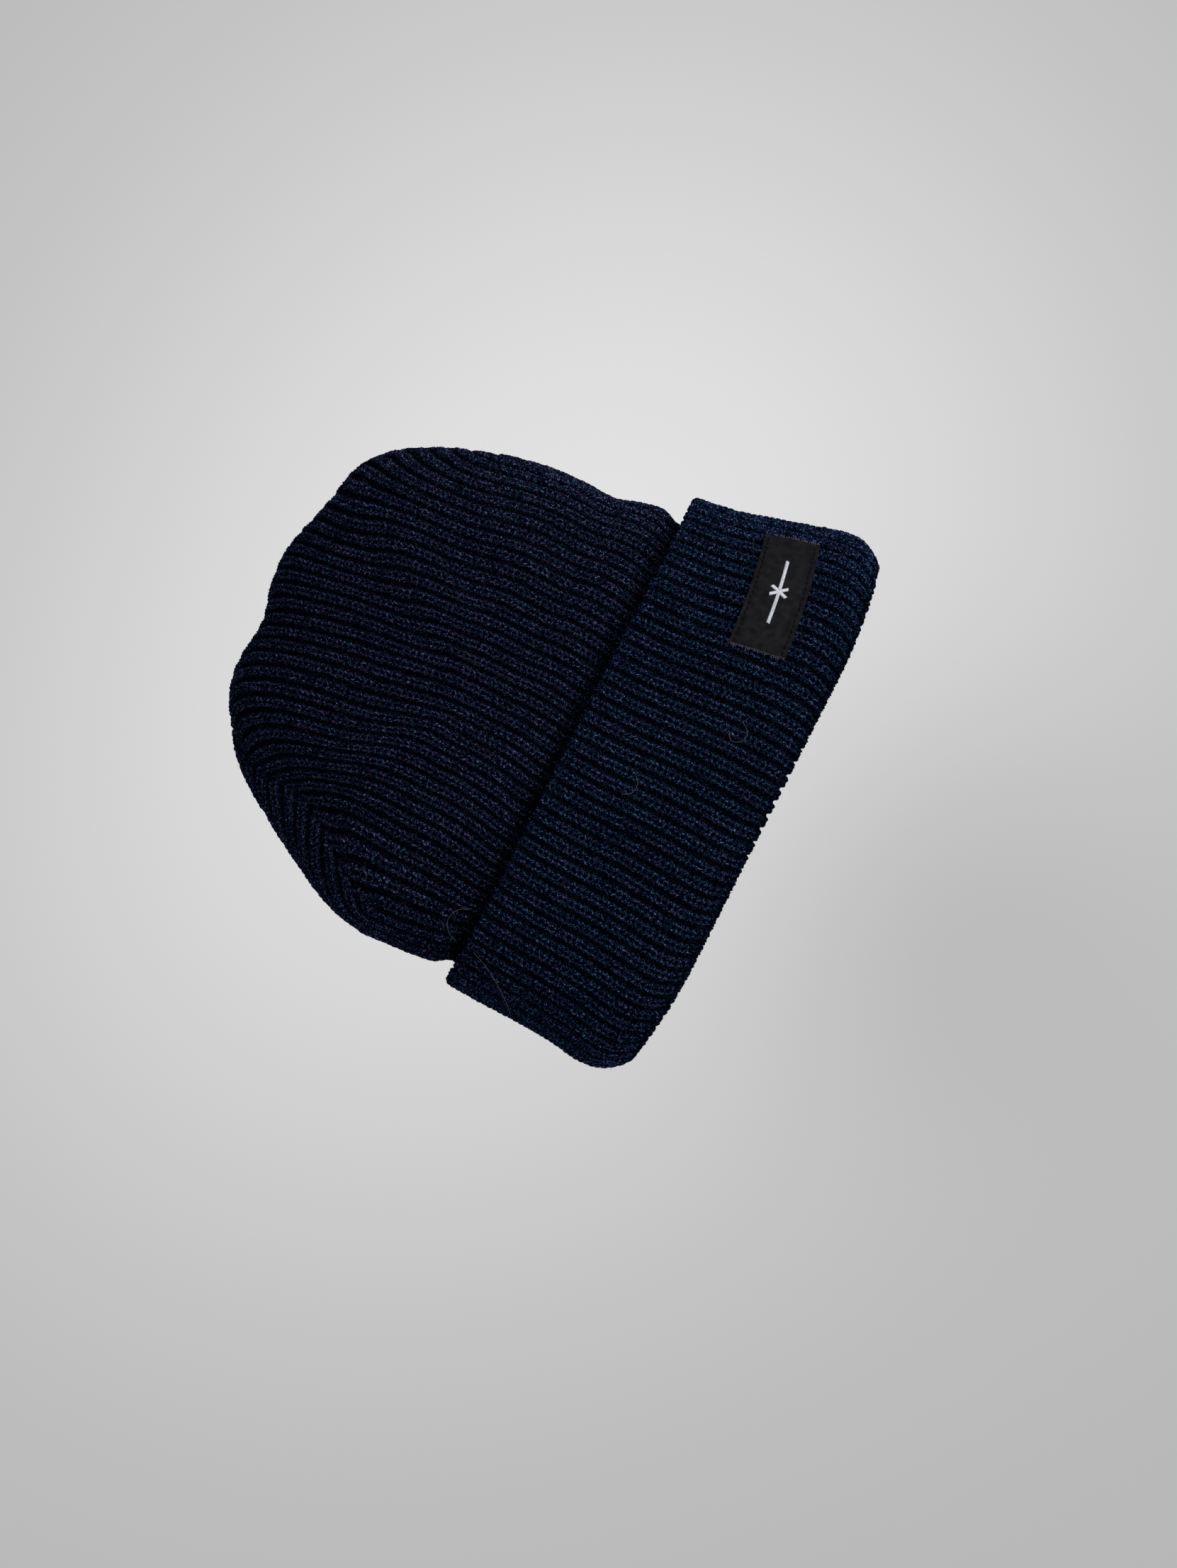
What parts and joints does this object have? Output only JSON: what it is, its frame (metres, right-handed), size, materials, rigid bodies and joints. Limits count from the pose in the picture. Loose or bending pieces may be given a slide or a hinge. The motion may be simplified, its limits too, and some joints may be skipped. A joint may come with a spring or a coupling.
{
  "type": "knitted beanie",
  "caption": "Chunky rib-knit beanie with a deep turn-up cuff, a sewn-on woven label and a crown closed by a curved seam.",
  "frame": {"origin": "middle of the opening, on the plane the folded rim rests on", "axes": "+Z from the opening up to the crown; -Y is the front, where the woven label is; +X is the label's end of the front, and the crown has slumped towards -X"},
  "size_m": [0.2208, 0.083, 0.2065],
  "materials": {
    "navy_yarn": "matte heathered worsted yarn",
    "seam_thread": "matte linking yarn",
    "label_satin": "woven satin tape, low sheen",
    "black_thread": "sewing thread",
    "white_thread": "raised white thread",
    "care_tape": "thin nylon tape"
  },
  "bodies": {
    "body": {"knit_body": "navy_yarn", "crown_seam": "seam_thread", "side_seam": "seam_thread", "dart_tack": "seam_thread", "care_label_stitch": "white_thread"},
    "cuff": {"cuff": "navy_yarn", "cuff_side_seam": "seam_thread", "woven_label": "label_satin", "label_stitch_upper": "black_thread", "label_stitch_lower": "black_thread", "label_motif": "white_thread"},
    "care_label": {"care_label": "care_tape"}
  },
  "joints": [
    {"name": "cuff_turn_down", "type": "slide", "parent": "body", "child": "cuff", "axis": [0, 0, -1], "range_m": [0, 0.066]},
    {"name": "care_label_flap", "type": "hinge", "parent": "body", "child": "care_label", "pos_m": [0.0645, 0.016, 0.1], "axis": [0, 0, 1], "range_deg": [0, 75]}
  ]
}
